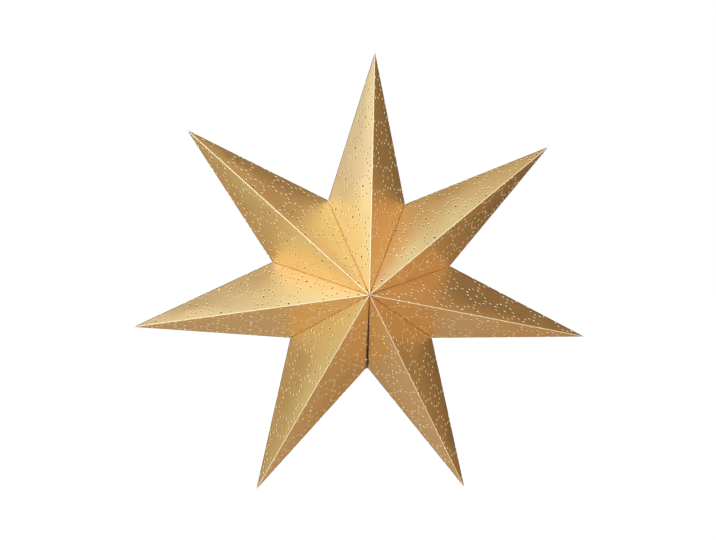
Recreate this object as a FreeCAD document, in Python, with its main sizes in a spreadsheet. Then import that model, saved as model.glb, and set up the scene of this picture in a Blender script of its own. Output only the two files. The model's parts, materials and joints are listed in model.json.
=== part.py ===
"""A hollow seven-pointed paper star: seven folded card points glued valley to valley.

The star stands in the XZ plane and its front looks along -Y. Its axis is the Y axis and the
origin is its centre. Each point is one sheet of card, folded to a hollow four-sided spike
that is open toward the centre, with four glue tabs bent inward along its valley edges. Six
valleys are glued tab to tab. The seventh, at the bottom, is left open as a narrow seam.
"""
import FreeCAD, Part
import math
import os

import Sketcher

os.makedirs("parts", exist_ok=True)
doc = FreeCAD.newDocument("paper_star")

# Driving sizes in millimetres and degrees
SIZES = {
    "tip_radius": 308.0,        # centre of the star to the tip of a point
    "notch_radius": 120.0,      # centre of the star to the bottom of the notch between points
    "half_depth": 125.0,        # mid-plane to the front apex, and to the back apex
    "card_thickness": 0.5,
    "seam_opening": 2.0,        # angle by which the two lowest points stand apart
    "tab_width": 10.0,
    "tab_start": 14.0,          # front apex to the tab, along the valley
    "tab_end_gap": 6.0,         # tab to the notch, along the valley
    "tab_end_angle": 45.0,      # slope of a tab's short ends
    "rosette_pitch": 42.5,      # square grid on which the punched rosettes repeat
    "pattern_angle": 27.0,      # grid direction against the ridge of a point
    "ring_radius": 14.0,        # ring of fine holes around a rosette's centre hole
    "centre_hole": 3.8,         # diameter of that centre hole
    "fold_clearance": 5.0,      # ring to the nearest fold, for a rosette that counts as whole
    "hang_hole": 1.6,           # diameter of the hole under the topmost tip
    "hang_hole_drop": 8.0,      # tip to the middle of that hole
}

# Each point, counterclockwise from the top, and where the punched grid falls on its card
POINTS = {
    "point_top": (40.0, -1.5),
    "point_upper_left": (21.7, 6.5),
    "point_left": (15.6, 3.7),
    "point_lower_left": (4.2, 7.1),
    "point_lower_right": (33.0, 32.5),
    "point_right": (8.2, 26.5),
    "point_upper_right": (21.5, 18.0),
}

# Play of a cutting body past the surface that it cuts
CUT_PLAY = 1.0


def make_sheet():
    """Keep the driving sizes in a spreadsheet, one aliased cell each."""
    sheet = doc.addObject("Spreadsheet::Sheet", "sizes")
    for row, (alias, value) in enumerate(SIZES.items(), start=1):
        sheet.set(f"A{row}", alias)
        sheet.set(f"B{row}", str(value))
        sheet.setAlias(f"B{row}", alias)
    doc.recompute()
    return sheet


sizes = make_sheet()

# Shared terms, each written with the sheet's names
HALF_WEDGE = f"((360 - sizes.seam_opening) / {2 * len(POINTS)})"
NOTCH_SIDE = f"(sizes.notch_radius * sin({HALF_WEDGE}))"
NOTCH_RISE = f"(sizes.notch_radius * cos({HALF_WEDGE}))"
HALF_WIDTH = f"({NOTCH_SIDE} * sizes.tip_radius / (sizes.tip_radius - {NOTCH_RISE}))"
TIP_SETBACK = (f"(sizes.card_thickness * sizes.tip_radius"
               f" * sqrt(1 / {HALF_WIDTH} ^ 2 + 1 / sizes.half_depth ^ 2 + 1 / sizes.tip_radius ^ 2))")
CUT_REACH = f"(sizes.half_depth + {CUT_PLAY})"


def half_wedge():
    """Half the angle that one point takes around the star, in radians."""
    return math.radians((360 - sizes.seam_opening) / (2 * len(POINTS)))


def extrude(name, sketch, length, both_ways=False):
    """Give a closed sketch a thickness along its normal."""
    solid = doc.addObject("Part::Extrusion", name)
    solid.Base = sketch
    solid.DirMode = "Normal"
    solid.Solid = True
    solid.Symmetric = both_ways
    solid.setExpression("LengthFwd", length)
    return solid


def mirror(name, source, normal):
    """Mirror a body in the plane through the origin with this normal."""
    copy = doc.addObject("Part::Mirroring", name)
    copy.Source = source
    copy.Normal = normal
    return copy


def polygon(sketch, corners):
    """Draw a closed polygon and join its corners. The lines are numbered from 0."""
    vectors = [FreeCAD.Vector(x, y, 0) for x, y in corners]
    count = len(vectors)
    for i in range(count):
        sketch.addGeometry(Part.LineSegment(vectors[i], vectors[(i + 1) % count]), False)
    for i in range(count):
        sketch.addConstraint(Sketcher.Constraint("Coincident", i, 2, (i + 1) % count, 1))


def driven(sketch, name, expression, *constraint):
    """Add a dimension to a sketch and bind it to the sheet."""
    index = sketch.addConstraint(Sketcher.Constraint(*constraint))
    sketch.renameConstraint(index, name)
    sketch.setExpression(f"Constraints.{name}", expression)


def on_axis(sketch, axis, line, end):
    """Put an end of a sketch line on the sketch's own "x" or "y" axis."""
    sketch.addConstraint(Sketcher.Constraint("PointOnObject", line, end, {"x": -1, "y": -2}[axis]))


def sketch_origin():
    """The origin of a sketch, as the line and end that a constraint asks for."""
    return -1, 1


# The spike of one point
def rhombus(name):
    """The spike's section through the star's centre: wide in X and deep in Y."""
    sketch = doc.addObject("Sketcher::SketchObject", name)
    wide = sizes.notch_radius
    deep = sizes.half_depth
    polygon(sketch, [(wide, 0), (0, deep), (-wide, 0), (0, -deep)])
    origin = sketch_origin()
    sketch.addConstraint(Sketcher.Constraint("Symmetric", 0, 1, 2, 1, *origin))
    sketch.addConstraint(Sketcher.Constraint("Symmetric", 1, 1, 3, 1, *origin))
    on_axis(sketch, "x", 0, 1)
    on_axis(sketch, "y", 1, 1)
    driven(sketch, "half_width", HALF_WIDTH, "DistanceX", *origin, 0, 1, wide)
    driven(sketch, "half_depth", "sizes.half_depth", "DistanceY", *origin, 1, 1, deep)
    return sketch


def spike(name, setback):
    """A four-sided spike up to the tip, moved down the axis by the setback."""
    base = rhombus(f"{name}_base")
    base.setExpression("Placement.Base.z", f"-{setback}")
    tip = doc.addObject("Part::Vertex", f"{name}_tip")
    tip.setExpression("Z", f"sizes.tip_radius - {setback}")
    loft = doc.addObject("Part::Loft", name)
    loft.Sections = [base, tip]
    loft.Solid = True
    loft.Ruled = True
    return loft


def wedge():
    """The share of the star that belongs to one point: a wedge with its edge on the Y axis."""
    sketch = doc.addObject("Sketcher::SketchObject", "wedge_outline")
    sketch.Placement = FreeCAD.Placement(FreeCAD.Vector(), FreeCAD.Rotation(FreeCAD.Vector(1, 0, 0), 90))
    top = sizes.tip_radius + CUT_PLAY
    side = top * math.tan(half_wedge())
    polygon(sketch, [(0, 0), (side, top), (-side, top)])
    origin = sketch_origin()
    sketch.addConstraint(Sketcher.Constraint("Coincident", 0, 1, *origin))
    sketch.addConstraint(Sketcher.Constraint("Horizontal", 1))
    driven(sketch, "top", f"sizes.tip_radius + {CUT_PLAY}", "DistanceY", *origin, 1, 1, top)
    driven(sketch, "side", f"(sizes.tip_radius + {CUT_PLAY}) * tan({HALF_WEDGE})",
           "DistanceX", *origin, 1, 1, side)
    driven(sketch, "width", f"2 * (sizes.tip_radius + {CUT_PLAY}) * tan({HALF_WEDGE})",
           "DistanceX", 2, 1, 1, 1, 2 * side)
    return extrude("wedge", sketch, f"2 * {CUT_REACH}", both_ways=True)


def front_tab():
    """The front glue tab of the right-hand valley edge, in the plane between two points.

    In its sketch x runs out from the star's axis and y runs back, so that the valley is the
    line from the front apex (0, -half_depth) to the notch (notch_radius, 0).
    """
    sketch = doc.addObject("Sketcher::SketchObject", "tab_outline")
    turn = FreeCAD.Rotation(FreeCAD.Vector(0, -1, 0), 90 - math.degrees(half_wedge()))
    sketch.Placement = FreeCAD.Placement(FreeCAD.Vector(), turn)
    sketch.setExpression("Placement.Rotation.Angle", f"90 - {HALF_WEDGE}")
    apex = FreeCAD.Vector(0, -sizes.half_depth, 0)
    notch = FreeCAD.Vector(sizes.notch_radius, 0, 0)
    along = (notch - apex).normalize()
    inward = FreeCAD.Vector(-along.y, along.x, 0)
    valley_length = (notch - apex).Length
    slope = sizes.tab_width / math.tan(math.radians(sizes.tab_end_angle))
    stations = [(sizes.tab_start, 0), (valley_length - sizes.tab_end_gap, 0),
                (valley_length - sizes.tab_end_gap - slope, sizes.tab_width),
                (sizes.tab_start + slope, sizes.tab_width)]
    corners = [apex + along * distance + inward * depth for distance, depth in stations]
    polygon(sketch, [(corner.x, corner.y) for corner in corners])
    fold, far_end, free_edge, near_end = range(4)
    valley = sketch.addGeometry(Part.LineSegment(apex, notch), True)
    origin = sketch_origin()
    on_axis(sketch, "y", valley, 1)
    on_axis(sketch, "x", valley, 2)
    driven(sketch, "depth", "sizes.half_depth", "DistanceY", valley, 1, *origin, sizes.half_depth)
    driven(sketch, "notch", "sizes.notch_radius", "DistanceX", *origin, valley, 2, sizes.notch_radius)
    sketch.addConstraint(Sketcher.Constraint("PointOnObject", fold, 1, valley))
    sketch.addConstraint(Sketcher.Constraint("PointOnObject", fold, 2, valley))
    sketch.addConstraint(Sketcher.Constraint("Parallel", free_edge, valley))
    driven(sketch, "start", "sizes.tab_start", "Distance", valley, 1, fold, 1, sizes.tab_start)
    driven(sketch, "end_gap", "sizes.tab_end_gap", "Distance", fold, 2, valley, 2, sizes.tab_end_gap)
    driven(sketch, "width", "sizes.tab_width", "Distance", free_edge, 1, valley, sizes.tab_width)
    end_angle = math.radians(sizes.tab_end_angle)
    driven(sketch, "near_angle", "sizes.tab_end_angle", "Angle", fold, 1, near_end, 2, end_angle)
    driven(sketch, "far_angle", "sizes.tab_end_angle", "Angle", far_end, 1, fold, 2, end_angle)
    return extrude("tab", sketch, "sizes.card_thickness")


def folded_point():
    """The folded card of one point, tip up: two skins of the spike, cut to the wedge, and tabs."""
    outside = spike("outside", "0")
    inside = spike("inside", TIP_SETBACK)
    share = doc.addObject("Part::Common", "share")
    share.Base = outside
    share.Tool = wedge()
    shell = doc.addObject("Part::Cut", "shell")
    shell.Base = share
    shell.Tool = inside
    tabs = [front_tab()]
    tabs.append(mirror("tab_back", tabs[0], FreeCAD.Vector(0, 1, 0)))
    tabs += [mirror(f"{tab.Name}_left", tab, FreeCAD.Vector(1, 0, 0)) for tab in list(tabs)]
    card = doc.addObject("Part::MultiFuse", "folded_point")
    card.Shapes = [shell] + tabs
    card.Refine = True
    return card


# The punched pattern on the flat card
def flat_card():
    """Corners of the flat card, ridge along x: apex, tip and the notch on the right-hand side."""
    wedge_angle = half_wedge()
    ridge = math.hypot(sizes.tip_radius, sizes.half_depth)
    notch_rise = sizes.notch_radius * math.cos(wedge_angle)
    along = (notch_rise * sizes.tip_radius + sizes.half_depth ** 2) / ridge
    valley_squared = sizes.notch_radius ** 2 + sizes.half_depth ** 2
    out = math.sqrt(valley_squared - along ** 2)
    return FreeCAD.Vector(0, 0, 0), FreeCAD.Vector(ridge, 0, 0), FreeCAD.Vector(along, out, 0)


def reflect(corner, first, second):
    """Mirror a corner of the flat card in the line through two others."""
    line = (second - first).normalize()
    offset = corner - first
    return first + line * (2 * offset.dot(line)) - offset


def panels():
    """The card's four panels: corners on the flat card and where they lie once folded."""
    apex, tip, notch = flat_card()
    wedge_angle = half_wedge()
    folded_tip = FreeCAD.Vector(0, 0, sizes.tip_radius)
    found = {}
    for side, sign in (("right", 1), ("left", -1)):
        flat_notch = FreeCAD.Vector(notch.x, sign * notch.y, 0)
        folded_notch = FreeCAD.Vector(sign * sizes.notch_radius * math.sin(wedge_angle), 0,
                                      sizes.notch_radius * math.cos(wedge_angle))
        front = FreeCAD.Vector(0, -sizes.half_depth, 0)
        back = FreeCAD.Vector(0, sizes.half_depth, 0)
        found[f"front_{side}"] = ((apex, tip, flat_notch), (front, folded_tip, folded_notch))
        found[f"back_{side}"] = ((reflect(apex, tip, flat_notch), tip, flat_notch),
                                 (back, folded_tip, folded_notch))
    return found


def fold_placement(flat, folded):
    """The move that carries the flat card's plane onto one folded panel."""
    flat_along = (flat[1] - flat[0]).normalize()
    folded_along = (folded[1] - folded[0]).normalize()
    flat_out = square_to(flat[2] - flat[0], flat_along)
    folded_out = square_to(folded[2] - folded[0], folded_along)
    x_axis = folded_along * flat_along.x + folded_out * flat_out.x
    y_axis = folded_along * flat_along.y + folded_out * flat_out.y
    turn = FreeCAD.Rotation(x_axis, y_axis, x_axis.cross(y_axis), "ZXY")
    return FreeCAD.Placement(folded[0] - turn.multVec(flat[0]), turn)


def square_to(vector, direction):
    """The unit vector of what is left of a vector beside a direction."""
    return (vector - direction * vector.dot(direction)).normalize()


def edge_distance(spot, corners):
    """Distance from a spot to the nearest edge of a triangle, negative outside it."""
    centre = (corners[0] + corners[1] + corners[2]) * (1 / 3)
    nearest = math.inf
    for i in range(3):
        first = corners[i]
        inward = square_to(centre - first, (corners[(i + 1) % 3] - first).normalize())
        nearest = min(nearest, (spot - first).dot(inward))
    return nearest


def rosette_centres(corners, shift):
    """Centres of the rosettes that lie whole on one panel of the flat card."""
    turn = math.radians(sizes.pattern_angle)
    row = FreeCAD.Vector(math.cos(turn), math.sin(turn), 0)
    column = FreeCAD.Vector(math.sin(turn), -math.cos(turn), 0)
    reach = math.ceil(max(corner.Length for corner in corners) / sizes.rosette_pitch) + 1
    keep_off = sizes.ring_radius + sizes.centre_hole / 2 + sizes.fold_clearance
    centres = []
    for i in range(-reach, reach + 1):
        for j in range(-reach, reach + 1):
            spot = (row * (shift[0] + i * sizes.rosette_pitch)
                    + column * (shift[1] + j * sizes.rosette_pitch))
            if edge_distance(spot, corners) >= keep_off:
                centres.append(spot)
    return centres


def punch(name, panel, flat, folded, shift):
    """The punch that cuts one panel's large holes, square to the card, or None without holes."""
    centres = rosette_centres(flat, shift)
    if not centres:
        return None
    sketch = doc.addObject("Sketcher::SketchObject", f"{name}_{panel}_holes")
    sketch.Placement = fold_placement(flat, folded)
    radius = sizes.centre_hole / 2
    for number, centre in enumerate(centres):
        sketch.addGeometry(Part.Circle(centre, FreeCAD.Vector(0, 0, 1), radius), False)
        driven(sketch, f"radius_{number}", "sizes.centre_hole / 2", "Radius", number, radius)
        sketch.addConstraint(Sketcher.Constraint("DistanceX", *sketch_origin(), number, 3, centre.x))
        sketch.addConstraint(Sketcher.Constraint("DistanceY", *sketch_origin(), number, 3, centre.y))
    return extrude(f"{name}_{panel}_punch", sketch,
                   f"2 * (sizes.card_thickness + {CUT_PLAY})", both_ways=True)


def hang_punch():
    """The hole under the topmost tip, through the front and the back ridge."""
    drill = doc.addObject("Part::Cylinder", "hang_punch")
    drill.setExpression("Radius", "sizes.hang_hole / 2")
    drill.setExpression("Height", f"2 * {CUT_REACH}")
    drill.Placement = FreeCAD.Placement(FreeCAD.Vector(), FreeCAD.Rotation(FreeCAD.Vector(1, 0, 0), 90))
    drill.setExpression("Placement.Base.y", CUT_REACH)
    drill.setExpression("Placement.Base.z", "sizes.tip_radius - sizes.hang_hole_drop")
    return drill


def star_point(name, number, shift, card):
    """One punched point of the star, turned to its place around the star's axis."""
    cutters = [punch(name, panel, flat, folded, shift) for panel, (flat, folded) in panels().items()]
    cutters = [cutter for cutter in cutters if cutter]
    if number == 0:
        cutters.append(hang_punch())
    tools = doc.addObject("Part::Compound", f"{name}_punches")
    tools.Links = cutters
    point = doc.addObject("Part::Cut", name)
    point.Label = name
    point.Base = card
    point.Tool = tools
    past_seam = number > len(POINTS) // 2
    turns = len(POINTS) - number if past_seam else number
    axis = FreeCAD.Vector(0, 1, 0) if past_seam else FreeCAD.Vector(0, -1, 0)
    turn = FreeCAD.Rotation(axis, 2 * turns * math.degrees(half_wedge()))
    point.Placement = FreeCAD.Placement(FreeCAD.Vector(), turn)
    point.setExpression("Placement.Rotation.Angle", f"{2 * turns} * {HALF_WEDGE}")
    return point


card = folded_point()
points = [star_point(name, number, shift, card)
          for number, (name, shift) in enumerate(POINTS.items())]
doc.recompute()

for item in doc.Objects:
    if {"Invalid", "Error"} & set(item.State):
        raise RuntimeError(f"{item.Name} failed: {item.State}")
for point in points:
    shape = point.Shape
    if shape.isNull() or not shape.isValid() or len(shape.Solids) != 1:
        raise RuntimeError(f"{point.Label} is not one valid solid")
    shape.exportStep(f"parts/{point.Label}.step")
    print(point.Label, "volume", round(shape.Volume, 1), "faces", len(shape.Faces))
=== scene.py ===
"""A hollow seven-pointed star shade of folded, punched gold card, hung over a pale floor.

Each of the star's seven points is cut and folded again here as one thin sheet: four panels
and four glue tabs, with every punched hole, a foiled outside and a plain reverse. Lengths
are in millimetres on the flat sheet and in metres once a sheet is folded.
"""

import json
import logging
import math
from dataclasses import dataclass
from enum import Enum, IntEnum
from typing import Any, Iterator, Mapping, NamedTuple, Sequence

import bpy
import numpy as np
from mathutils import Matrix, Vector
from mathutils.geometry import delaunay_2d_cdt

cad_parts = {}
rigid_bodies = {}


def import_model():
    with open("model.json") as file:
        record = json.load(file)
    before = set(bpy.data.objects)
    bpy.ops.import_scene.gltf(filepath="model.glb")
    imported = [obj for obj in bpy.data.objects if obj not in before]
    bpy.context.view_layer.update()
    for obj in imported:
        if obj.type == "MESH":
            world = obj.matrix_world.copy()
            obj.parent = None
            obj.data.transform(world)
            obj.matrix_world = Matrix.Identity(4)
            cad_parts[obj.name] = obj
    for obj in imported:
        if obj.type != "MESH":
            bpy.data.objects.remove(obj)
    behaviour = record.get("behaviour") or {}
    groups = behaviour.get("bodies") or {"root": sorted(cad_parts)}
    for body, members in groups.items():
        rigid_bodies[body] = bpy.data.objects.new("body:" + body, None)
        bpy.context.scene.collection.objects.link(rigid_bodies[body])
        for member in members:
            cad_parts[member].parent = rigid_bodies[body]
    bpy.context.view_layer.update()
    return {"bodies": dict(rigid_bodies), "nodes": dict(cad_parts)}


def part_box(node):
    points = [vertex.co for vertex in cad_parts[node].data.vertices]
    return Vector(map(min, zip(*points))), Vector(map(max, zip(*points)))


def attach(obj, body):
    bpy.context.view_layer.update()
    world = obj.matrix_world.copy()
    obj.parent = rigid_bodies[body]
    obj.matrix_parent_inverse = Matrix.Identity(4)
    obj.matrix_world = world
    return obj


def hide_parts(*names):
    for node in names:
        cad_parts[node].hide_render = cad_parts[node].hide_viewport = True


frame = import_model()

log = logging.getLogger("star")

MM = 0.001
FAR_FROM_FOLDS = 99.0
KEEP_ALL_TRIANGLES = 0
CUT_TOLERANCE = 1e-4
WHITE = (1.0, 1.0, 1.0, 1.0)
Colour = tuple[float, float, float]
Place = tuple[float, float, float]
Array = np.ndarray


class Side(IntEnum):
    """Side of a point's front ridge, as its sign across the flat sheet."""

    RIGHT = 1
    LEFT = -1


class Face(IntEnum):
    """Front or back of the star, as the sign of its Y coordinate."""

    FRONT = -1
    BACK = 1


class Layer(IntEnum):
    """Material slot on a card point."""

    FOIL = 0
    REVERSE = 1
    BARE = 2


# Sizes of the star and of its card


@dataclass(frozen=True)
class StarSizes:
    """The star's sizes in millimetres and radians.

    The radii and the half depth are read from the frame, the half wedge follows from the number
    of points and the open seam, and the rest belong to the card and its tabs.
    """

    tip_radius: float
    notch_radius: float
    half_depth: float
    half_wedge: float
    seam: float
    thickness: float = 0.5
    tab_width: float = 10.0
    tab_start: float = 14.0
    tab_end_gap: float = 6.0
    tab_slope: float = math.radians(45)
    glue_line: float = 0.04
    seam_gap: float = 0.35
    seam_turn: float = 3.5
    seam_tab_gap: float = 0.5
    seam_tab_flare: float = 1.2
    seam_tab_slope: float = 0.7
    fold_strip: float = 0.8
    hang_hole: float = 2.0
    hang_drop: float = 8.0

    @classmethod
    def from_frame(cls, node: str, points: int, seam: float) -> "StarSizes":
        """Read the leading sizes from the box of the point that stands upright.

        Args:
            node: Name of the upright point's solid.
            points: Number of points on the star.
            seam: Angle left open between the two lowest points, in radians.

        Returns:
            The star's sizes.
        """
        _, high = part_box(node)
        half_wedge = (2 * math.pi - seam) / (2 * points)
        notch_radius = high[0] / math.sin(half_wedge)
        return cls(high[2] / MM, notch_radius / MM, high[1] / MM, half_wedge, seam)

    @property
    def ridge(self) -> float:
        """Length of a ridge, from an apex to a tip."""
        return math.hypot(self.tip_radius, self.half_depth)

    @property
    def valley(self) -> float:
        """Length of a valley, from an apex to a notch."""
        return math.hypot(self.notch_radius, self.half_depth)

    @property
    def flat_notch(self) -> Array:
        """The right-hand notch on the flat sheet, with the ridge along x from the apex."""
        rise = self.notch_radius * math.cos(self.half_wedge)
        along = (rise * self.tip_radius + self.half_depth ** 2) / self.ridge
        return np.array([along, math.sqrt(self.valley ** 2 - along ** 2)])


class Hole(NamedTuple):
    """One punched hole on the flat sheet, with how far its rim narrows through the card."""

    centre: Array
    radius: float
    corners: int
    burr: float = 0.0

    def outline(self) -> Array:
        """Corners of the hole, counterclockwise."""
        turns = np.arange(self.corners) * (2 * math.pi / self.corners)
        return self.centre + self.radius * np.column_stack([np.cos(turns), np.sin(turns)])


@dataclass(frozen=True)
class RosettePunch:
    """The repeating punched pattern: a ring of small holes round a larger one, on a square grid."""

    pitch: float = 42.5
    angle: float = math.radians(27)
    ring_radius: float = 14.0
    ring_holes: int = 12
    small_radius: float = 1.5
    centre_radius: float = 1.9
    small_corners: int = 12
    centre_corners: int = 20
    burr: float = 0.5

    def holes(self, shift: tuple[float, float], reach: float) -> Iterator[Hole]:
        """List the pattern's holes over a square of the flat sheet.

        Args:
            shift: Where a rosette lies along and across the grid's rows.
            reach: Half the side of the square that is covered.

        Returns:
            The holes, one after another.
        """
        row = np.array([math.cos(self.angle), math.sin(self.angle)])
        column = np.array([row[1], -row[0]])
        count = math.ceil(reach / self.pitch)
        for i in range(-count, count + 1):
            for j in range(-count, count + 1):
                centre = row * (shift[0] + i * self.pitch) + column * (shift[1] + j * self.pitch)
                yield Hole(centre, self.centre_radius, self.centre_corners, self.burr)
                yield self.small_hole(centre + row * (self.pitch / 2))
                yield self.small_hole(centre + column * (self.pitch / 2))
                for k in range(self.ring_holes):
                    turn = self.angle + k * 2 * math.pi / self.ring_holes
                    spoke = np.array([math.cos(turn), math.sin(turn)])
                    yield self.small_hole(centre + self.ring_radius * spoke)

    def small_hole(self, centre: Array) -> Hole:
        """One of the small holes, at a place on the sheet."""
        return Hole(centre, self.small_radius, self.small_corners, self.burr)


@dataclass(frozen=True)
class HandMade:
    """How far a corner of the real star lies from its true place."""

    lean: float = 0.0
    reach: float = 0.0


@dataclass(frozen=True)
class PointPlan:
    """One point of the star: its place, its punching and its small handmade errors.

    The turn counts whole points counterclockwise from the top, seen from the front. Leans are
    in degrees counterclockwise and reaches in millimetres outward.
    """

    node: str
    turn: int
    shift: tuple[float, float]
    tip: HandMade
    left_notch: HandMade
    right_notch: HandMade
    open_side: Side | None = None
    seed: int = 0


# The flat sheet


def unit(vector: Array) -> Array:
    """The vector at length 1."""
    return vector / np.linalg.norm(vector)


def reflect(spot: Array, first: Array, second: Array) -> Array:
    """Mirror a spot of the flat sheet in the line through two others."""
    line = unit(second - first)
    offset = spot - first
    return first + 2 * line * (offset @ line) - offset


def edge_distances(spots: Array, corners: Array) -> Array:
    """Distance of spots inside each edge of a counterclockwise polygon.

    Args:
        spots: Flat places, one a row.
        corners: The polygon's corners.

    Returns:
        One row for each spot and one column for each edge, negative outside.
    """
    lines = np.roll(corners, -1, axis=0) - corners
    inward = np.column_stack([-lines[:, 1], lines[:, 0]]) / np.linalg.norm(lines, axis=1)[:, None]
    return np.einsum("nej,ej->ne", spots[:, None, :] - corners[None, :, :], inward)


@dataclass
class Panel:
    """One flat region of the sheet and where it goes when the sheet is folded.

    The map carries a flat place to its folded one: folded = origin + along * x + across * y.
    """

    name: str
    flat: Array
    origin: Array
    along: Array
    across: Array
    normal: Array

    def fold(self, spots: Array) -> Array:
        """Carry flat places onto the folded panel."""
        return self.origin + np.outer(spots[:, 0], self.along) + np.outer(spots[:, 1], self.across)


def panel_through(name: str, flat: Array, folded: Array) -> Panel:
    """Make the panel whose three flat corners go to three folded corners.

    Args:
        name: The panel's name.
        flat: Three flat corners, counterclockwise, one a row.
        folded: Where they lie on the star.

    Returns:
        The panel, with its outward normal.
    """
    spans = np.column_stack([flat[1] - flat[0], flat[2] - flat[0]])
    along, across = (np.column_stack([folded[1] - folded[0], folded[2] - folded[0]])
                     @ np.linalg.inv(spans)).T
    origin = folded[0] - along * flat[0][0] - across * flat[0][1]
    return Panel(name, flat, origin, along, across, unit(np.cross(across, along)))


class Fold(NamedTuple):
    """A fold or glued line: its flat ends, and the normal of the region across it."""

    first: Array
    second: Array
    across_normal: Array
    glued: bool


class Cut(NamedTuple):
    """The flat sheet after punching.

    It holds the places of its outside, those of its reverse, where the punch has dragged each
    hole's rim inward, its triangles and the region that each triangle belongs to.
    """

    spots: Array
    reverse_spots: Array
    triangles: Array
    regions: Array


@dataclass
class CardPoint:
    """One folded card point of the star."""

    sizes: StarSizes
    punch: RosettePunch
    plan: PointPlan
    grid_step: float = 13.0
    rim_share: float = 0.04
    ripple: float = 0.45
    ripple_lengths: tuple[float, ...] = (170.0, 110.0, 70.0)
    bow: float = 1.2

    def folded_corner(self, angle: float, radius: float) -> Array:
        """A corner in the star's own plane, by its angle from the top and its radius."""
        return np.array([-math.sin(angle) * radius, 0.0, math.cos(angle) * radius])

    def mid_angle(self) -> float:
        """Angle of the point's axis from the top, counterclockwise seen from the front."""
        return 2 * self.plan.turn * self.sizes.half_wedge

    def tip(self) -> Array:
        """The folded place of the tip."""
        made = self.plan.tip
        return self.folded_corner(self.mid_angle() + math.radians(made.lean),
                                  self.sizes.tip_radius + made.reach)

    def notch(self, side: Side) -> Array:
        """The folded place of the notch on one side."""
        made = self.plan.right_notch if side is Side.RIGHT else self.plan.left_notch
        angle = self.mid_angle() - side * self.sizes.half_wedge + math.radians(made.lean)
        return self.folded_corner(angle, self.sizes.notch_radius + made.reach)

    def apex(self, face: Face) -> Array:
        """The folded place of the front or the back apex."""
        return np.array([0.0, face * self.sizes.half_depth, 0.0])

    def flat_corners(self, side: Side) -> tuple[Array, Array, Array, Array]:
        """Apex, tip, notch and back apex of one side on the flat sheet."""
        apex = np.zeros(2)
        tip = np.array([self.sizes.ridge, 0.0])
        notch = self.sizes.flat_notch * (1, side)
        return apex, tip, notch, reflect(apex, tip, notch)

    def panels(self) -> list[Panel]:
        """The four panels of the point."""
        made = []
        for side in Side:
            apex, tip, notch, back = self.flat_corners(side)
            for face, near in ((Face.FRONT, apex), (Face.BACK, back)):
                flat = [near, tip, notch]
                folded = [self.apex(face), self.tip(), self.notch(side)]
                if side * face > 0:
                    flat[1], flat[2] = flat[2], flat[1]
                    folded[1], folded[2] = folded[2], folded[1]
                name = f"{face.name}_{side.name}".lower()
                made.append(panel_through(name, np.array(flat), np.array(folded)))
        return made

    def tab(self, side: Side, face: Face) -> Panel:
        """The glue tab on one valley edge, bent inward into the plane between two points.

        Args:
            side: Side of the point.
            face: Front or back of the star.

        Returns:
            The tab as a region of its own.
        """
        size = self.sizes
        apex, _, notch, back = self.flat_corners(side)
        near = apex if face is Face.FRONT else back
        line = unit(notch - near)
        out = np.array([line[1], -line[0]])
        tip = np.array([size.ridge, 0.0])
        if (tip - near) @ out > 0:
            out = -out
        slope = size.tab_width / math.tan(size.tab_slope)
        end = size.valley - size.tab_end_gap
        outline = [(end, 0.0), (end - slope, size.tab_width)]
        if side is self.plan.open_side and face is Face.FRONT:
            end = size.valley - size.seam_tab_gap
            outline = [(end, 0.0), (end + size.seam_tab_flare, size.seam_turn),
                       (end - slope * size.seam_tab_slope, size.tab_width)]
        elif side is self.plan.open_side:
            outline = [(end - slope, 0.0), (end - 2 * slope, size.tab_width)]
        stations = [(size.tab_start, 0.0), *outline, (size.tab_start + slope, size.tab_width)]
        flat = np.array([near + line * distance + out * depth for distance, depth in stations])
        if np.cross(flat[1] - flat[0], flat[2] - flat[0]) < 0:
            flat = flat[::-1]
        valley = unit(self.notch(side) - self.apex(face))
        to_inside = self.apex(Face(-face)) - self.apex(face)
        inward = unit(to_inside - valley * (to_inside @ valley))
        away = self.wedge_normal(side)
        along = valley * line[0] + inward * out[0]
        across = valley * line[1] + inward * out[1]
        origin = self.apex(face) - along * near[0] - across * near[1] - away * size.glue_line
        return Panel(f"tab_{face.name}_{side.name}".lower(), flat, origin, along, across, away)

    def spring(self, tab: Panel, spots: Array) -> Array:
        """How far the open seam's front tab leans over its gap.

        Args:
            tab: The tab.
            spots: Flat places on it.

        Returns:
            Moves in millimetres, one row for each place.
        """
        size = self.sizes
        if self.plan.open_side is not Side.LEFT or tab.name != "tab_front_left":
            return np.zeros((len(spots), 3))
        line = unit(self.flat_corners(Side.LEFT)[2])
        depth = np.abs(spots @ (-line[1], line[0]))
        gap = spots @ line / size.valley * 2 * size.notch_radius * math.sin(size.seam / 2)
        lean = np.clip(gap - size.seam_gap, 0, None) * np.clip(depth / size.seam_turn, 0, 1)
        return np.outer(lean, self.wedge_normal(Side.LEFT))

    def wedge_normal(self, side: Side) -> Array:
        """Normal of the plane between this point and its neighbour, away from this point."""
        radial = unit(self.notch(side))
        normal = np.array([-radial[2], 0.0, radial[0]])
        return normal if normal @ self.tip() < 0 else -normal

    def folds(self, panel: Panel, panels: Mapping[str, Panel]) -> list[Fold]:
        """The folds that bound one panel, each with what lies across it.

        Args:
            panel: The panel.
            panels: All panels of the point, by name.

        Returns:
            Its ridge, its side edge and its valley.
        """
        face_name, side_name = panel.name.split("_")
        side, face = Side[side_name.upper()], Face[face_name.upper()]
        apex, tip, notch, back = self.flat_corners(side)
        near = apex if face is Face.FRONT else back
        over_ridge = panels[f"{face_name}_{Side(-side).name}".lower()].normal
        over_edge = panels[f"{Face(-face).name}_{side_name}".lower()].normal
        return [Fold(near, tip, over_ridge, face is Face.BACK), Fold(tip, notch, over_edge, False),
                Fold(near, notch, self.wedge_normal(side), True)]

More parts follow.
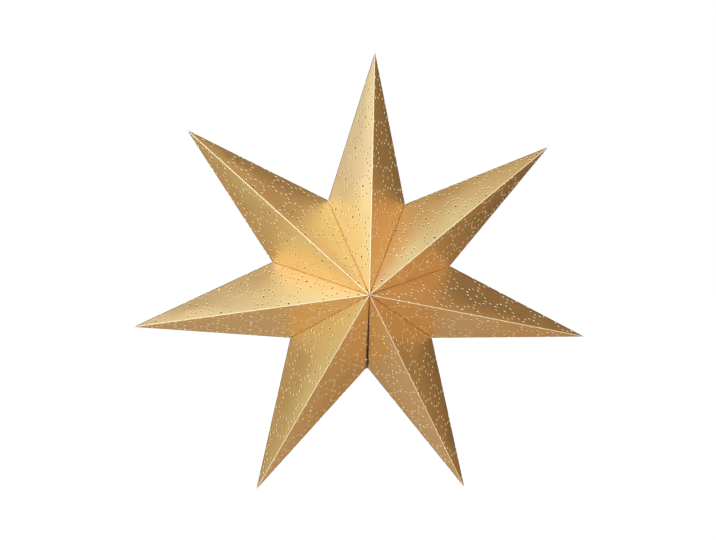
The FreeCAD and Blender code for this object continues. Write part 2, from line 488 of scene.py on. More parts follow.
    def strip_lines(self, panels: Sequence[Panel]) -> list[Array]:
        """Lines beside each fold, between which the card bends.

        Args:
            panels: The point's panels.

        Returns:
            Pairs of flat ends.
        """
        lines = []
        for panel in panels:
            for i in range(3):
                first, second = panel.flat[i], panel.flat[(i + 1) % 3]
                line = unit(second - first)
                inward = np.array([-line[1], line[0]]) * self.sizes.fold_strip
                lines.append(np.array([first + inward, second + inward]))
        return lines

    def punched_holes(self, regions: Sequence[Panel]) -> list[Hole]:
        """The holes that fall on the sheet.

        Args:
            regions: The panels and tabs.

        Returns:
            The pattern's holes on them, and the hanging holes of the point at the top.
        """
        pattern = list(self.punch.holes(self.plan.shift, self.sizes.ridge))
        centres = np.array([hole.centre for hole in pattern])
        inside = np.any([edge_distances(centres, region.flat).min(axis=1) > 0 for region in regions], axis=0)
        holes = [hole for hole, kept in zip(pattern, inside) if kept]
        return list(self.with_hanging_holes(holes)) if self.plan.turn == 0 else holes

    def with_hanging_holes(self, holes: Sequence[Hole]) -> Iterator[Hole]:
        """The holes with those for the hanging thread, and none that would cut into them."""
        drop = self.sizes.hang_drop * self.sizes.ridge / self.sizes.tip_radius
        tip = np.array([self.sizes.ridge, 0.0])
        radius = self.sizes.hang_hole / 2
        ends = [np.zeros(2)] + [self.flat_corners(side)[3] for side in Side]
        hanging = [Hole(tip + unit(end - tip) * drop, radius, self.punch.centre_corners) for end in ends]
        for hole in holes:
            clear = [np.linalg.norm(hole.centre - other.centre) - hole.radius - radius for other in hanging]
            if min(clear) > self.sizes.thickness:
                yield hole
        yield from hanging

    def filling(self, panels: Sequence[Panel], holes: Sequence[Hole]) -> Array:
        """Places spread over the panels, so that long thin triangles are few.

        Args:
            panels: The point's panels.
            holes: The punched holes, which they keep clear of.

        Returns:
            The places.
        """
        reach = np.arange(-self.sizes.ridge, self.sizes.ridge, self.grid_step)
        grid = np.stack(np.meshgrid(reach, reach), axis=-1)
        grid[1::2, :, 0] += self.grid_step / 2
        spots = grid.reshape(-1, 2)
        margin = 2 * self.sizes.fold_strip
        inside = np.any([edge_distances(spots, panel.flat).min(axis=1) > margin for panel in panels], axis=0)
        spots = spots[inside]
        centres = np.array([hole.centre for hole in holes])
        radii = np.array([hole.radius for hole in holes])
        gaps = np.linalg.norm(spots[:, None] - centres[None], axis=2) - radii
        return spots[gaps.min(axis=1) > self.sizes.fold_strip]

    def cut_sheet(self, regions: Sequence[Panel]) -> Cut:
        """Cut the flat sheet to its outline, punch it and divide it into triangles.

        Args:
            regions: The panels first, then the tabs.

        Returns:
            The sheet in the flat.
        """
        panels = [region for region in regions if len(region.flat) == 3]
        holes = self.punched_holes(regions)
        spots: list[Array] = []
        faces: list[list[int]] = []
        for outline in [region.flat for region in regions] + [hole.outline() for hole in holes]:
            faces.append(list(range(len(spots), len(spots) + len(outline))))
            spots.extend(outline)
        edges = []
        for line in self.strip_lines(panels):
            edges.append((len(spots), len(spots) + 1))
            spots.extend(line)
        spots.extend(self.filling(panels, holes))
        places, _, triangles, _, _, sources = delaunay_2d_cdt(
            [Vector(spot) for spot in spots], edges, faces, KEEP_ALL_TRIANGLES, CUT_TOLERANCE, True)
        kept, owners = [], []
        for triangle, source in zip(triangles, sources):
            if source and max(source) < len(regions):
                kept.append(triangle)
                owners.append(min(source))
        flat = np.array([tuple(place) for place in places])
        corners = np.array(kept)
        a, b, c = (flat[corners[:, i]] for i in range(3))
        clockwise = np.cross(b - a, c - a) < 0
        corners[clockwise] = corners[clockwise][:, ::-1]
        used, inverse = np.unique(corners, return_inverse=True)
        flat = flat[used]
        return Cut(flat, self.drag_rims(flat, holes), inverse.reshape(corners.shape), np.array(owners))

    def drag_rims(self, spots: Array, holes: Sequence[Hole]) -> Array:
        """Places on the sheet's reverse, with the rim of each hole narrowed by the burr.

        Args:
            spots: Flat places on the outside.
            holes: The punched holes.

        Returns:
            The places on the reverse.
        """
        dragged = spots.copy()
        for hole in holes:
            spokes = spots - hole.centre
            reach = np.linalg.norm(spokes, axis=1)
            rim = np.abs(reach - hole.radius) < hole.radius * self.rim_share
            dragged[rim] -= spokes[rim] * (hole.burr / hole.radius)
        return dragged

    def waves(self, spots: Array, panel: Panel) -> Array:
        """Height of the card's bow and slight ripples over a flat panel, none at its folds.

        Args:
            spots: Flat places.
            panel: The panel that they lie on.

        Returns:
            Heights along the panel's normal.
        """
        chance = np.random.default_rng(self.plan.seed * 10 + len(panel.name))
        height = np.zeros(len(spots))
        for length in self.ripple_lengths:
            turn, phase = chance.uniform(0, 2 * math.pi, 2)
            wave = np.array([math.cos(turn), math.sin(turn)]) * (2 * math.pi / length)
            height += np.sin(spots @ wave + phase) * length / max(self.ripple_lengths)
        inside = edge_distances(spots, panel.flat)
        rise = np.clip(inside.min(axis=1) / (2 * self.grid_step), 0, 1)
        middle = np.prod(np.clip(inside / edge_distances(panel.flat, panel.flat).max(axis=0), 0, 1), axis=1)
        edges = len(panel.flat)
        full_bow = edges ** edges * self.bow
        return self.ripple * height * rise * rise * (3 - 2 * rise) + full_bow * middle

    def skins(self, cut: Cut, regions: Sequence[Panel]) -> "Skins":
        """Fold the cut sheet and give it its thickness.

        Args:
            cut: The flat sheet.
            regions: Its panels and tabs.

        Returns:
            Both skins of the folded card.
        """
        count = len(cut.spots)
        owner = np.zeros(count, int)
        for region in reversed(range(len(regions))):
            owner[np.unique(cut.triangles[cut.regions == region])] = region
        blank = [np.zeros((count, 3)) for _ in range(3)]
        skins = Skins(*blank, np.full((count, 3), FAR_FROM_FOLDS))
        panels = {region.name: region for region in regions if len(region.flat) == 3}
        for number, region in enumerate(regions):
            mine = np.flatnonzero(owner == number)
            if not len(mine):
                continue
            if region.name in panels:
                self.fold_panel(skins, mine, cut, region, panels)
            else:
                lean = self.spring(region, cut.spots[mine])
                skins.outer[mine] = region.fold(cut.spots[mine]) + lean
                skins.normals[mine] = region.normal
                skins.inner[mine] = (region.fold(cut.reverse_spots[mine]) + lean
                                     - region.normal * self.sizes.thickness)
        return skins

    def fold_panel(self, skins: "Skins", mine: Array, cut: Cut, panel: Panel,
                   panels: Mapping[str, Panel]) -> None:
        """Fold the vertices of one panel, round its folds and offset its reverse.

        Args:
            skins: The skins that are filled in.
            mine: Numbers of the panel's vertices.
            cut: The flat sheet.
            panel: The panel.
            panels: All panels of the point, by name.
        """
        size = self.sizes
        spots = cut.spots[mine]
        step = 0.5
        lift = self.waves(spots, panel)
        slope_x = (self.waves(spots + (step, 0), panel) - lift) / step
        slope_y = (self.waves(spots + (0, step), panel) - lift) / step
        normals = panel.normal - np.outer(slope_x, panel.along) - np.outer(slope_y, panel.across)
        outer = panel.fold(spots) + np.outer(lift, panel.normal)
        inner = panel.fold(cut.reverse_spots[mine]) + np.outer(lift - size.thickness, panel.normal)
        centre = panel.flat.mean(axis=0)
        for column, fold in enumerate(self.folds(panel, panels)):
            line = unit(fold.second - fold.first)
            inward = np.array([-line[1], line[0]])
            if (centre - fold.first) @ inward < 0:
                inward = -inward
            away = (spots - fold.first) @ inward
            skins.distances[mine, column] = away
            near = np.clip(1 - away / size.fold_strip, 0, 1)[:, None]
            half_turn = math.acos(np.clip(panel.normal @ fold.across_normal, -1, 1)) / 2
            bisector = unit(panel.normal + fold.across_normal)
            draw_in = size.fold_strip * (1 / math.cos(half_turn) - 1) / math.tan(half_turn)
            mitre = bisector * (size.thickness / math.cos(half_turn))
            inner += near * (panel.normal * size.thickness - mitre)
            outer -= near ** 2 * bisector * draw_in
            normals += near * (fold.across_normal - panel.normal) / 2
            if fold.glued:
                outer -= near * fold.across_normal * size.glue_line
                inner -= near * fold.across_normal * size.glue_line
        skins.outer[mine] = outer
        skins.inner[mine] = inner
        skins.normals[mine] = normals / np.linalg.norm(normals, axis=1)[:, None]

    def build(self) -> bpy.types.Object:
        """Cut, punch and fold the card.

        Returns:
            The point as a mesh object, with its fold distances and its unwrapping.
        """
        tabs = [self.tab(side, face) for side in Side for face in Face]
        regions = self.panels() + tabs
        cut = self.cut_sheet(regions)
        skins = self.skins(cut, regions)
        plain = [number for number, region in enumerate(regions)
                 if self.plan.open_side and region.name.startswith("tab")
                 and region.name.endswith(self.plan.open_side.name.lower())]
        mesh = SheetMesh(cut, skins, plain).make(f"card_{self.plan.node}")
        piece = bpy.data.objects.new(f"card_{self.plan.node}", mesh)
        bpy.context.scene.collection.objects.link(piece)
        return piece

    def dress(self, piece: bpy.types.Object, finishes: Mapping[Layer, bpy.types.Material]) -> None:
        """Give the piece its finishes and its place on the frame."""
        for layer in Layer:
            piece.data.materials.append(finishes[layer])
        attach(piece, "root")
        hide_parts(self.plan.node)


@dataclass
class Skins:
    """The folded card's outer and inner vertices, outer normals and distances to the folds."""

    outer: Array
    inner: Array
    normals: Array
    distances: Array


@dataclass
class SheetMesh:
    """The mesh of one folded card: outer skin, reverse, and the walls of its cuts.

    The plain regions have no foil on their outside. The flat scale, the wall band and the wall
    columns lay out the unwrapping.
    """

    cut: Cut
    skins: Skins
    plain_regions: Sequence[int]
    flat_scale: float = 0.0013
    wall_band: float = 0.26
    wall_columns: int = 190

    def rims(self) -> Array:
        """Directed edges of the sheet that border nothing, as pairs of vertex numbers."""
        triangles = self.cut.triangles
        edges = np.concatenate([triangles[:, [0, 1]], triangles[:, [1, 2]], triangles[:, [2, 0]]])
        present = {(int(a), int(b)) for a, b in edges}
        return np.array([edge for edge in map(tuple, edges.tolist()) if edge[::-1] not in present])

    def make(self, name: str) -> bpy.types.Mesh:
        """Build the mesh.

        Args:
            name: The mesh's name.

        Returns:
            The closed sheet in metres, with normals, fold distances and an unwrapping.
        """
        count = len(self.cut.spots)
        triangles = self.cut.triangles
        outside = triangles[:, ::-1]
        reverse = triangles + count
        rims = self.rims()
        walls = np.column_stack([rims[:, 0], rims[:, 1], rims[:, 1] + count, rims[:, 0] + count])
        vertices = np.concatenate([self.skins.outer, self.skins.inner]) * MM
        mesh = bpy.data.meshes.new(name)
        mesh.from_pydata(vertices.tolist(), [], outside.tolist() + reverse.tolist() + walls.tolist())
        plain = np.isin(self.cut.regions, self.plain_regions)
        outside_layer = np.where(plain, Layer.REVERSE, Layer.FOIL)
        layers = np.concatenate([outside_layer, np.full(len(triangles), Layer.REVERSE),
                                 np.full(len(walls), Layer.BARE)])
        mesh.polygons.foreach_set("material_index", layers)
        mesh.polygons.foreach_set("use_smooth", np.ones(len(mesh.polygons), bool))
        self.set_unwrapping(mesh, outside, reverse, len(walls))
        self.set_distances(mesh)
        self.set_normals(mesh, outside, reverse, rims, vertices[walls])
        mesh.update()
        return mesh

    def set_unwrapping(self, mesh: bpy.types.Mesh, outside: Array, reverse: Array, walls: int) -> None:
        """Lay the two skins side by side as the flat sheet, and the walls in rows above them."""
        spots = (self.cut.spots - self.cut.spots.min(axis=0)) * self.flat_scale
        across = spots[:, 0].max() + self.flat_scale * 10
        front = spots[outside.ravel()]
        back = spots[reverse.ravel() - len(spots)] * (-1, 1) + (2 * across, 0)
        cell = 1 / self.wall_columns
        number = np.arange(walls)
        corner = np.column_stack([number % self.wall_columns, number // self.wall_columns]) * cell
        square = np.array([[0.2, 0.2], [0.8, 0.2], [0.8, 0.8], [0.2, 0.8]]) * cell
        sides = (corner[:, None, :] + square[None] + (0, 1 - self.wall_band)).reshape(-1, 2)
        layer = mesh.uv_layers.new(name="OFBake")
        layer.data.foreach_set("uv", np.concatenate([front, back, sides]).astype(np.float32).ravel())

    def set_distances(self, mesh: bpy.types.Mesh) -> None:
        """Keep each vertex's distance to the ridge, the side edge and the valley, in millimetres."""
        for column, name in enumerate(("from_ridge", "from_edge", "from_valley")):
            attribute = mesh.attributes.new(name, "FLOAT", "POINT")
            values = np.concatenate([self.skins.distances[:, column]] * 2)
            attribute.data.foreach_set("value", values.astype(np.float32))

    def set_normals(self, mesh: bpy.types.Mesh, outside: Array, reverse: Array, rims: Array,
                    walls: Array) -> None:
        """Shade the skins by the card's own curve and the walls smoothly along each rim.

        Args:
            mesh: The mesh.
            outside: Triangles of the foiled skin.
            reverse: Triangles of the reverse.
            rims: The two rim vertices of each wall.
            walls: The four corners of each wall.
        """
        normals = self.skins.normals
        facing = np.cross(walls[:, 2] - walls[:, 0], walls[:, 3] - walls[:, 1])
        facing /= np.maximum(np.linalg.norm(facing, axis=1), 1e-12)[:, None]
        rim = np.zeros_like(normals)
        for end in (0, 1):
            np.add.at(rim, rims[:, end], facing)
        rim /= np.maximum(np.linalg.norm(rim, axis=1), 1e-12)[:, None]
        wall_loops = rim[rims[:, [0, 1, 1, 0]].ravel()]
        reverse_loops = -normals[reverse.ravel() - len(normals)]
        loops = np.concatenate([normals[outside.ravel()], reverse_loops, wall_loops])
        mesh.normals_split_custom_set(loops.tolist())


# Finishes


class Signal:
    """A value inside a material, on which sums are written as plain expressions."""

    def __init__(self, board: "Board", socket: bpy.types.NodeSocket) -> None:
        self.board = board
        self.socket = socket

    def sum_with(self, operation: str, other: "Signal | float", swapped: bool = False) -> "Signal":
        """Join this value and another by one arithmetic step."""
        pair = [other, self] if swapped else [self, other]
        return self.board.signal("ShaderNodeMath", {"operation": operation}, {0: pair[0], 1: pair[1]})

    def __add__(self, other: "Signal | float") -> "Signal":
        """Add."""
        return self.sum_with("ADD", other)

    def __radd__(self, other: float) -> "Signal":
        """Add, from the right."""
        return self.sum_with("ADD", other, swapped=True)

    def __sub__(self, other: "Signal | float") -> "Signal":
        """Subtract."""
        return self.sum_with("SUBTRACT", other)

    def __rsub__(self, other: float) -> "Signal":
        """Subtract from the other."""
        return self.sum_with("SUBTRACT", other, swapped=True)

    def __mul__(self, other: "Signal | float") -> "Signal":
        """Multiply."""
        return self.sum_with("MULTIPLY", other)

    def faded(self, low: float, high: float) -> "Signal":
        """A smooth step from 1 at the low value to 0 at the high one."""
        return self.board.signal("ShaderNodeMapRange", {"interpolation_type": "SMOOTHSTEP"},
                                 {"Value": self, "From Min": low, "From Max": high,
                                  "To Min": 1.0, "To Max": 0.0})


Feed = Signal | float | Sequence[float] | str


class Board:
    """The nodes of one material or of the world."""

    def __init__(self, tree: bpy.types.NodeTree) -> None:
        self.tree = tree
        self.tree.nodes.clear()

    @classmethod
    def for_material(cls, name: str) -> tuple[bpy.types.Material, "Board"]:
        """Start an empty material."""
        material = bpy.data.materials.new(name)
        material.use_nodes = True
        return material, cls(material.node_tree)

    def node(self, kind: str, settings: Mapping[str, Any] | None = None,
             feeds: Mapping[str | int, Feed] | None = None) -> bpy.types.Node:
        """Add a node.

        Args:
            kind: The node's type.
            settings: Its own settings, set first.
            feeds: Values or signals for its inputs, by name or number.

        Returns:
            The node.
        """
        made = self.tree.nodes.new(kind)
        for key, value in (settings or {}).items():
            setattr(made, key, value)
        for key, feed in (feeds or {}).items():
            socket = made.inputs[key]
            if isinstance(feed, Signal):
                self.tree.links.new(feed.socket, socket)
            else:
                socket.default_value = feed
        return made

    def signal(self, kind: str, settings: Mapping[str, Any] | None = None,
               feeds: Mapping[str | int, Feed] | None = None, output: str | int = 0) -> Signal:
        """Add a node and take one of its outputs."""
        return Signal(self, self.node(kind, settings, feeds).outputs[output])

    def grain(self, scale: float, detail: float = 2.0, roughness: float = 0.5) -> Signal:
        """Cloudy noise from 0 to 1 in the object's own metres."""
        place = self.signal("ShaderNodeTexCoord", output="Object")
        return self.signal("ShaderNodeTexNoise", {"noise_dimensions": "3D"},
                           {"Vector": place, "Scale": scale, "Detail": detail, "Roughness": roughness},
                           "Fac")

    def blend(self, factor: Signal, first: Signal | Colour, second: Signal | Colour) -> Signal:
        """Mix two colours, from the first at 0 to the second at 1."""
        feeds = {0: factor}
        for key, colour in ((6, first), (7, second)):
            feeds[key] = colour if isinstance(colour, Signal) else (*colour, 1.0)
        return self.signal("ShaderNodeMix", {"data_type": "RGBA", "clamp_factor": True}, feeds, 2)

    def distance(self, name: str) -> Signal:
        """One of the card's distances to a fold, in millimetres."""
        return self.signal("ShaderNodeAttribute", {"attribute_name": name}, output="Fac")

    def finish(self, surface: Signal) -> None:
        """Send a shader to the surface."""
        self.node("ShaderNodeOutputMaterial", feeds={"Surface": surface})


@dataclass(frozen=True)
class FoldBand:
    """A band of changed finish beside one kind of fold.

    It is full up to one distance and gone at the other, both in millimetres, and its border
    wanders by the raggedness.
    """

    fold: str
    full: float
    gone: float
    ragged: float

    def strength(self, board: Board, scuff: Signal) -> Signal:
        """How strongly the band shows, from 1 beside the fold to 0 away from it."""
        return (board.distance(self.fold) - (scuff - 0.5) * self.ragged).faded(self.full, self.gone)


@dataclass(frozen=True)
class FoilFinish:
    """Satin gold foil on card, with the foil worn off along the ridges, and painted shade along the side
    edges and the valleys.
    """

    gold: Colour = (0.96, 0.735, 0.415)
    deep_gold: Colour = (0.94, 0.695, 0.365)
    worn: Colour = (0.93, 0.84, 0.66)
    metallic: float = 0.96
    roughness: float = 0.42
    coat: float = 0.4
    coat_roughness: float = 0.3
    coat_ior: float = 1.5
    # Painted shade: dark brown along the side edges of each point.
    turned: Colour = (0.32, 0.20, 0.09)
    # Painted shade: deep orange along the valleys between points.
    creased: Colour = (0.62, 0.30, 0.09)
    ridge_band: FoldBand = FoldBand("from_ridge", 0.42, 0.98, 0.6)
    edge_band: FoldBand = FoldBand("from_edge", 1.04, 2.6, 0.5)
    valley_band: FoldBand = FoldBand("from_valley", 0.54, 1.8, 0.8)
    worn_share: float = 0.9
    turned_share: float = 0.8
    creased_share: float = 0.25

    def make(self) -> bpy.types.Material:
        """Build the material.

        Returns:
            The foil.
        """
        material, board = Board.for_material("gold_foil")
        cloud = board.grain(14.0, 3.0)
        fine = board.grain(900.0, 2.0, 0.6)
        scuff = board.grain(160.0, 3.0, 0.65)
        ridge = self.ridge_band.strength(board, scuff)
        edge = self.edge_band.strength(board, scuff)
        valley = self.valley_band.strength(board, scuff)
        bare = ridge * self.worn_share
        gold = board.blend(cloud, self.deep_gold, self.gold)
        # Painted shade darkens the foil along the side edges.
        turned = board.blend(edge * (1 - ridge) * self.turned_share, gold, self.turned)
        # Painted shade turns the foil deep orange along the valleys.
        shaded_gold = board.blend(valley * self.creased_share, turned, self.creased)
        colour = board.blend(bare, shaded_gold, self.worn)
        bump = board.signal("ShaderNodeBump", feeds={"Strength": 0.2, "Distance": 0.0001, "Height": fine},
                            output="Normal")
        shader = board.signal("ShaderNodeBsdfPrincipled", {"distribution": "MULTI_GGX"}, {
            "Base Color": colour,
            "Metallic": self.metallic - bare * (self.metallic * 0.8),
            "Roughness": self.roughness + (cloud - 0.5) * 0.08 + (scuff - 0.5) * 0.06 + bare * 0.15,
            "Coat Weight": self.coat,
            "Coat Roughness": self.coat_roughness,
            "Coat IOR": self.coat_ior,
            "Normal": bump,
        })
        board.finish(shader)
        return material


@dataclass(frozen=True)
class CardFinish:
    """Plain card, as on the sheet's reverse and along its cuts."""

    name: str
    colour: Colour
    shade: Colour
    roughness: float = 0.85

    def make(self) -> bpy.types.Material:
        """Build the material.

        Returns:
            The card.
        """
        material, board = Board.for_material(self.name)
        fibre = board.grain(700.0, 3.0, 0.6)
        cloud = board.grain(20.0, 2.0)
        bump = board.signal("ShaderNodeBump", feeds={"Strength": 0.2, "Distance": 0.0001, "Height": fibre},
                            output="Normal")
        shader = board.signal("ShaderNodeBsdfPrincipled", feeds={
            "Base Color": board.blend(cloud * 0.6 + fibre * 0.4, self.shade, self.colour),
            "Roughness": self.roughness,
            "Normal": bump,
        })
        board.finish(shader)
        return material


# Painted shade: the reverse's white card is coloured dark brown, for the shade inside the hollow star and on
# the seam's tabs.
SHADED_REVERSE_CARD = CardFinish("reverse_card", (0.40, 0.28, 0.15), (0.34, 0.23, 0.12))
CUT_EDGES = CardFinish("bare_card", (0.98, 0.80, 0.46), (0.95, 0.75, 0.41))


# The studio


@dataclass(frozen=True)
class Lamp:
    """A soft square lamp."""

    name: str
    place: Place
    width: float
    power: float
    colour: Colour = (1.0, 1.0, 1.0)


class Wall(Enum):
    """A side of the light tent round the star, as its fixed axis and its place on it."""

    LEFT = (0, -1.0)
    RIGHT = (0, 1.0)
    TOP = (2, 1.0)
    BOTTOM = (2, -0.7)


FRONT_PART = (-0.8, 0.15)
MIDDLE_PART = (0.15, 0.6)
BACK_PART = (0.6, 1.6)


@dataclass(frozen=True)
class Screen:
    """A cloth of the light tent, which the camera doesn't see but the foil reflects.

    The span runs across the wall and the depth along Y, both in metres.
    """

    wall: Wall
    span: tuple[float, float]
    depth: tuple[float, float]
    glow: Colour

    def corners(self) -> list[Place]:
        """The cloth's four corners."""
        axis, place = self.wall.value
        around = [(self.span[0], self.depth[0]), (self.span[1], self.depth[0]),
                  (self.span[1], self.depth[1]), (self.span[0], self.depth[1])]
        return [(place, y, along) if axis == 0 else (along, y, place) for along, y in around]


@dataclass
class Studio:
    """The camera, the lamps, the light tent, the pale floor and the white surround.

    The camera's angles and scale, and the star's place in the frame in pixels, follow the photo.
    """

    azimuth: float = math.radians(-3.09)
    elevation: float = math.radians(6.90)
    roll: float = math.radians(-1.60)
    distance: float = 2.5
    pixels_per_metre: float = 747.7
    frame_width: int = 716
    frame_height: int = 540
    star_x: float = 364.6
    star_y: float = 283.0
    floor_drop: float = 0.75
    floor_half: float = 6.0
    floor_tone: float = 0.82
    floor_glow: float = 0.4
    surround: float = 0.75
    lamps: tuple[Lamp, ...] = (
        Lamp("key", (-1.2, -2.0, 1.0), 1.0, 30.0),
        Lamp("fill", (0.9, -2.2, 0.3), 1.2, 8.0),
    )
    screens: tuple[Screen, ...] = (
        Screen(Wall.LEFT, (-0.7, 0.3), FRONT_PART, (0.8, 0.81, 0.51)),
        Screen(Wall.LEFT, (0.3, 1.0), FRONT_PART, (1.2, 1.2, 1.15)),
        Screen(Wall.LEFT, (-0.7, -0.15), MIDDLE_PART, (0.14, 0.08, 0.03)),
        Screen(Wall.LEFT, (-0.15, 0.3), MIDDLE_PART, (0.2, 0.11, 0.04)),
        Screen(Wall.LEFT, (0.3, 1.0), MIDDLE_PART, (0.84, 0.93, 0.98)),
        Screen(Wall.LEFT, (-0.7, 0.3), BACK_PART, (0.65, 0.38, 0.15)),
        Screen(Wall.LEFT, (0.3, 1.0), BACK_PART, (0.06, 0.04, 0.02)),
        Screen(Wall.TOP, (-1.0, 0.0), FRONT_PART, (0.85, 1.15, 1.1)),
        Screen(Wall.TOP, (0.0, 1.0), FRONT_PART, (0.66, 0.39, 0.14)),
        Screen(Wall.TOP, (-1.0, -0.4), MIDDLE_PART, (0.57, 0.32, 0.14)),
        Screen(Wall.TOP, (-0.4, 0.0), MIDDLE_PART, (0.55, 0.31, 0.11)),
        Screen(Wall.TOP, (0.0, 0.4), MIDDLE_PART, (0.26, 0.14, 0.05)),
        Screen(Wall.TOP, (0.4, 1.0), MIDDLE_PART, (0.13, 0.07, 0.03)),
        Screen(Wall.TOP, (-1.0, 1.0), BACK_PART, (0.03, 0.02, 0.01)),
        Screen(Wall.RIGHT, (-0.7, 1.0), FRONT_PART, (0.52, 0.3, 0.11)),
        Screen(Wall.RIGHT, (-0.7, 1.0), MIDDLE_PART, (0.21, 0.12, 0.04)),
        Screen(Wall.RIGHT, (-0.7, 1.0), BACK_PART, (0.03, 0.02, 0.01)),
        Screen(Wall.BOTTOM, (-1.0, 1.0), FRONT_PART, (0.48, 0.3, 0.11)),
        Screen(Wall.BOTTOM, (-1.0, 0.3), MIDDLE_PART, (0.45, 0.36, 0.28)),
        Screen(Wall.BOTTOM, (0.3, 1.0), MIDDLE_PART, (0.4, 0.25, 0.12)),
        Screen(Wall.BOTTOM, (-1.0, 1.0), BACK_PART, (0.3, 0.17, 0.06)),
    )

    def camera(self) -> None:
        """Set the camera where the photographer's was."""
        back = Vector((math.sin(self.azimuth) * math.cos(self.elevation),
                       -math.cos(self.azimuth) * math.cos(self.elevation), math.sin(self.elevation)))
        right = Vector((math.cos(self.azimuth), math.sin(self.azimuth), 0.0))
        up = back.cross(right)
        data = bpy.data.cameras.new("camera")
        data.sensor_fit = "HORIZONTAL"
        data.lens = data.sensor_width * self.pixels_per_metre * self.distance / self.frame_width
        data.shift_x = (self.frame_width / 2 - self.star_x) / self.frame_width
        data.shift_y = (self.star_y - self.frame_height / 2) / self.frame_width
        camera = bpy.data.objects.new("camera", data)
        cos_roll, sin_roll = math.cos(self.roll), math.sin(self.roll)
        across = right * cos_roll - up * sin_roll
        upward = right * sin_roll + up * cos_roll
        turn = camera.matrix_world.to_3x3()
        turn.col[0], turn.col[1], turn.col[2] = across, upward, back
        camera.matrix_world = turn.to_4x4()
        camera.location = back * self.distance
        bpy.context.scene.collection.objects.link(camera)
        bpy.context.scene.camera = camera

    def hang_lamp(self, lamp: Lamp) -> None:
        """Hang one lamp, aimed at the star."""
        data = bpy.data.lights.new(lamp.name, "AREA")
        data.size = lamp.width
        data.energy = lamp.power
        data.color = lamp.colour
        light = bpy.data.objects.new(lamp.name, data)
        light.location = lamp.place
        light.rotation_euler = (-Vector(lamp.place)).to_track_quat("-Z", "Y").to_euler()
        bpy.context.scene.collection.objects.link(light)

    def sheet(self, name: str, corners: Sequence[Place],
              material: bpy.types.Material) -> bpy.types.Object:
        """Add one flat sheet of the set.

        Args:
            name: The sheet's name.
            corners: Its four corners.
            material: Its finish.

        Returns:
            The sheet.
        """
        mesh = bpy.data.meshes.new(name)
        mesh.from_pydata(list(corners), [], [tuple(range(len(corners)))])
        mesh.materials.append(material)
        made = bpy.data.objects.new(name, mesh)
        bpy.context.scene.collection.objects.link(made)
        return made

    def stretch_screen(self, screen: Screen, number: int) -> None:
        """Stretch one cloth of the light tent beside, above or below the star."""
        name = f"tent_{screen.wall.name.lower()}_{number}"
        material, board = Board.for_material(name)
        board.finish(board.signal("ShaderNodeEmission", feeds={"Color": (*screen.glow, 1.0)}))
        sheet = self.sheet(name, screen.corners(), material)
        sheet.visible_camera = False
        sheet.visible_shadow = False
        sheet.visible_diffuse = False

    def seen_directly(self, board: Board) -> Signal:
        """1 for rays from the camera and for those reflected or let through sharply."""
        path = board.node("ShaderNodeLightPath")
        seen = Signal(board, path.outputs["Is Camera Ray"])
        for output in ("Is Glossy Ray", "Is Transmission Ray"):
            seen = seen.sum_with("MAXIMUM", Signal(board, path.outputs[output]))
        return seen

    def floor(self) -> None:
        """Lay the pale floor far below the hanging star. It shows white but for shadows."""
        material, board = Board.for_material("pale_floor")
        tone = self.floor_tone
        matt = board.signal("ShaderNodeBsdfDiffuse", feeds={"Color": (tone, tone, tone, 1.0)})
        glow = self.seen_directly(board) * self.floor_glow
        lit = board.signal("ShaderNodeEmission", feeds={"Color": WHITE, "Strength": glow})
        board.finish(board.signal("ShaderNodeAddShader", feeds={0: matt, 1: lit}))
        low, half = -self.floor_drop, self.floor_half
        self.sheet("floor", [(-half, -half, low), (half, -half, low), (half, half, low), (-half, half, low)],
                   material)

    def world(self) -> None:
        """Surround the set with soft light that shows as plain white."""
        world = bpy.data.worlds.new("surround")
        world.use_nodes = True
        bpy.context.scene.world = world
        board = Board(world.node_tree)
        seen = self.seen_directly(board)
        strength = seen + (1 - seen) * self.surround
        light = board.signal("ShaderNodeBackground", feeds={"Color": WHITE, "Strength": strength})
        board.node("ShaderNodeOutputWorld", feeds={"Surface": light})

    def build(self) -> None:
        """Set up the whole studio."""
        self.camera()
        self.floor()
        self.world()
        for lamp in self.lamps:
            self.hang_lamp(lamp)
        for number, screen in enumerate(self.screens):
            self.stretch_screen(screen, number)
        bpy.context.scene.view_settings.view_transform = "Standard"


# The star

SEAM_OPENING = math.radians(2)

NOTCHES = {
    "top_to_upper_left": HandMade(-0.34, 1.6),
    "upper_left_to_left": HandMade(1.62, 6.7),
    "left_to_lower_left": HandMade(0.11, 4.1),
    "seam": HandMade(3.1, -3.2),
    "lower_right_to_right": HandMade(-0.18, -2.2),
    "right_to_upper_right": HandMade(-0.69, -3.3),
    "upper_right_to_top": HandMade(0.14, -1.3),
}

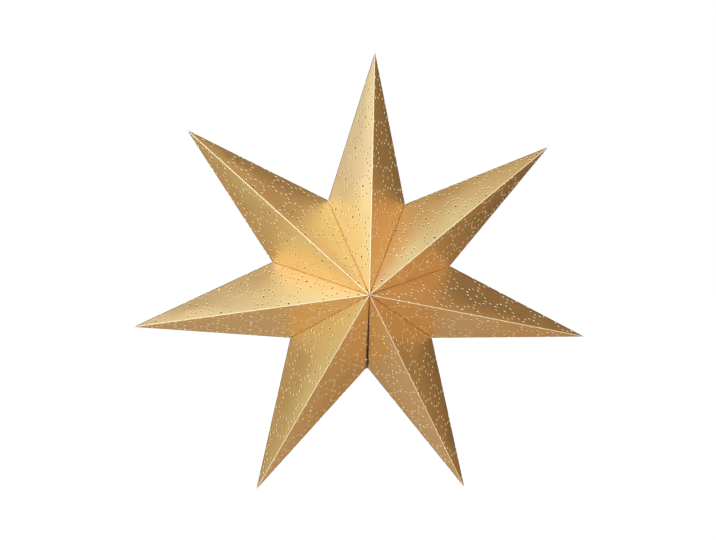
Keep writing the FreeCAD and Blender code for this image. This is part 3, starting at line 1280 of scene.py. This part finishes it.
PLANS = (
    PointPlan("point_top", 0, (40.0, -1.5), HandMade(-0.96, 0.2),
              NOTCHES["top_to_upper_left"], NOTCHES["upper_right_to_top"], seed=1),
    PointPlan("point_upper_left", 1, (21.7, 6.5), HandMade(-0.69, 4.2),
              NOTCHES["upper_left_to_left"], NOTCHES["top_to_upper_left"], seed=2),
    PointPlan("point_left", 2, (15.6, 3.7), HandMade(-0.22, 7.0),
              NOTCHES["left_to_lower_left"], NOTCHES["upper_left_to_left"], seed=3),
    PointPlan("point_lower_left", 3, (4.2, 7.1), HandMade(0.55, 9.6),
              NOTCHES["seam"], NOTCHES["left_to_lower_left"], open_side=Side.LEFT, seed=4),
    PointPlan("point_lower_right", -3, (33.0, 32.5), HandMade(0.85, 4.8),
              NOTCHES["lower_right_to_right"], NOTCHES["seam"], open_side=Side.RIGHT, seed=5),
    PointPlan("point_right", -2, (8.2, 26.5), HandMade(-0.25, -1.0),
              NOTCHES["right_to_upper_right"], NOTCHES["lower_right_to_right"], seed=6),
    PointPlan("point_upper_right", -1, (21.5, 18.0), HandMade(-0.80, -2.2),
              NOTCHES["upper_right_to_top"], NOTCHES["right_to_upper_right"], seed=7),
)


def clear_start_scene() -> None:
    """Remove what a new Blender file holds besides the frame."""
    kept = set(frame["nodes"].values()) | set(frame["bodies"].values())
    for item in list(bpy.data.objects):
        if item not in kept:
            bpy.data.objects.remove(item)


def main() -> None:
    """Build the star and its studio."""
    logging.basicConfig(level=logging.INFO, format="%(name)s: %(message)s")
    clear_start_scene()
    sizes = StarSizes.from_frame(PLANS[0].node, len(PLANS), SEAM_OPENING)
    Studio().build()
    finishes = {
        Layer.FOIL: FoilFinish().make(),
        Layer.REVERSE: SHADED_REVERSE_CARD.make(),
        Layer.BARE: CUT_EDGES.make(),
    }
    punch = RosettePunch()
    for plan in PLANS:
        point = CardPoint(sizes, punch, plan)
        piece = point.build()
        point.dress(piece, finishes)
        log.info("%s: %d faces", piece.name, len(piece.data.polygons))


if __name__ == "__main__":
    main()
